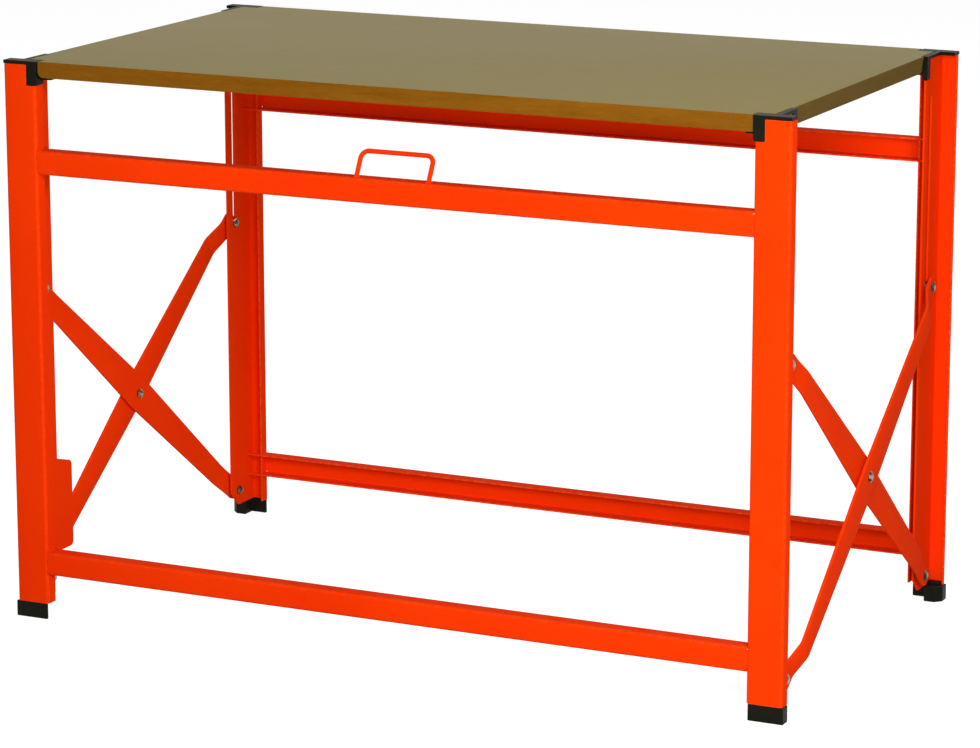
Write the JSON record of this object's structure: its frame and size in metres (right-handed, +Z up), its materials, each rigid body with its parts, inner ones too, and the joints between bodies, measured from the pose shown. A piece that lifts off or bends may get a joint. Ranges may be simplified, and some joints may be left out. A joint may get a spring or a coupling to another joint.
{
  "type": "folding workbench",
  "caption": "Folding workbench with channel-steel leg frames, crossed end braces that slide in slotted plates, a lift-out notched board, plastic caps and feet, and a carrying handle.",
  "frame": {"origin": "on the floor, in the middle of the feet of the open bench", "axes": "+X to the right along the board, +Y to the back, +Z up; the handle's rail is at the front, at -Y"},
  "size_m": [1.2442, 0.692, 0.85],
  "materials": {
    "frame_paint": "satin orange-red paint on sheet steel",
    "plastic": "satin black moulded plastic",
    "zinc": "zinc plated",
    "board": "satin olive-brown coated board"
  },
  "bodies": {
    "front_frame": {"front_left_leg": "frame_paint", "front_left_guide_plate": "frame_paint", "front_left_cap": "plastic", "front_left_foot": "plastic", "front_right_leg": "frame_paint", "front_right_guide_plate": "frame_paint", "front_right_cap": "plastic", "front_right_foot": "plastic", "front_upper_rail": "frame_paint", "front_lower_rail": "frame_paint", "carry_handle": "frame_paint", "stop_plate": "frame_paint", "left_outer_pivot_bolt": "zinc", "left_outer_pivot_nut": "zinc", "right_outer_pivot_bolt": "zinc", "right_outer_pivot_nut": "zinc"},
    "left_outer": {"left_outer_brace": "frame_paint", "left_outer_slide_bolt": "zinc", "left_outer_slide_nut": "zinc", "left_crossing_bolt": "zinc", "left_crossing_nut": "zinc"},
    "left_inner": {"left_inner_brace": "frame_paint", "left_inner_slide_bolt": "zinc", "left_inner_slide_nut": "zinc"},
    "right_outer": {"right_outer_brace": "frame_paint", "right_outer_slide_bolt": "zinc", "right_outer_slide_nut": "zinc", "right_crossing_bolt": "zinc", "right_crossing_nut": "zinc"},
    "right_inner": {"right_inner_brace": "frame_paint", "right_inner_slide_bolt": "zinc", "right_inner_slide_nut": "zinc"},
    "rear_frame": {"rear_left_leg": "frame_paint", "rear_left_guide_plate": "frame_paint", "rear_left_cap": "plastic", "rear_left_foot": "plastic", "rear_right_leg": "frame_paint", "rear_right_guide_plate": "frame_paint", "rear_right_cap": "plastic", "rear_right_foot": "plastic", "rear_upper_rail": "frame_paint", "rear_lower_rail": "frame_paint", "left_inner_pivot_bolt": "zinc", "left_inner_pivot_nut": "zinc", "right_inner_pivot_bolt": "zinc", "right_inner_pivot_nut": "zinc"},
    "worktop": {"worktop": "board"}
  },
  "joints": [
    {"name": "fold", "type": "hinge", "parent": "front_frame", "child": "left_outer", "pos_m": [0, -0.292, 0.049], "axis": [1, 0, 0], "range_deg": [0, 47.4]},
    {"name": "left_crossing", "type": "hinge", "parent": "left_outer", "child": "left_inner", "pos_m": [0, 0, 0.27402], "axis": [1, 0, 0], "range_deg": [-94.8, 0]},
    {"name": "rear_pivot", "type": "hinge", "parent": "left_inner", "child": "rear_frame", "pos_m": [0, 0.292, 0.049], "axis": [1, 0, 0], "range_deg": [0, 47.4]},
    {"name": "right_front_pivot", "type": "hinge", "parent": "front_frame", "child": "right_outer", "pos_m": [0, -0.292, 0.049], "axis": [1, 0, 0], "range_deg": [0, 47.4]},
    {"name": "right_crossing", "type": "hinge", "parent": "right_outer", "child": "right_inner", "pos_m": [0, 0, 0.27402], "axis": [1, 0, 0], "range_deg": [-94.8, 0]},
    {"name": "worktop_lift", "type": "slide", "parent": "front_frame", "child": "worktop", "axis": [0, 0, 1], "range_m": [0, 0.662]}
  ],
  "couplings": [
    {"joint": "left_crossing", "follows": "fold", "ratio": -2},
    {"joint": "rear_pivot", "follows": "fold", "ratio": 1},
    {"joint": "right_front_pivot", "follows": "fold", "ratio": 1},
    {"joint": "right_crossing", "follows": "fold", "ratio": -2},
    {"joint": "worktop_lift", "follows": "fold", "m_per_rad": 0.8}
  ]
}
